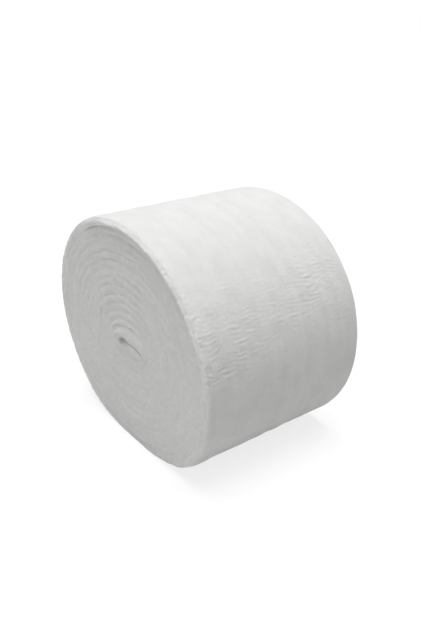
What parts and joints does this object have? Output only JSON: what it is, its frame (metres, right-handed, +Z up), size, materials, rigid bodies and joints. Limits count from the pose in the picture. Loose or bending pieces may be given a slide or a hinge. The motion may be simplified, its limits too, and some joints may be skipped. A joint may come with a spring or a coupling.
{
  "type": "gauze bandage roll",
  "caption": "Bulky roll of crinkled white gauze bandage, one long strip folded at the middle, wound up and lying on its side on a small flat spot.",
  "frame": {"origin": "on the resting surface, under the middle of the roll's box", "axes": "+Y along the roll's axis, from the end on which the turns wind outwards clockwise towards the other end; +Z up; +X to the right, seen from the -Y end"},
  "size_m": [0.112, 0.075, 0.0948],
  "materials": {
    "gauze": "matt bleached cotton gauze, crinkled across the strip"
  },
  "bodies": {
    "root": {"bandage_roll": "gauze"}
  },
  "joints": []
}
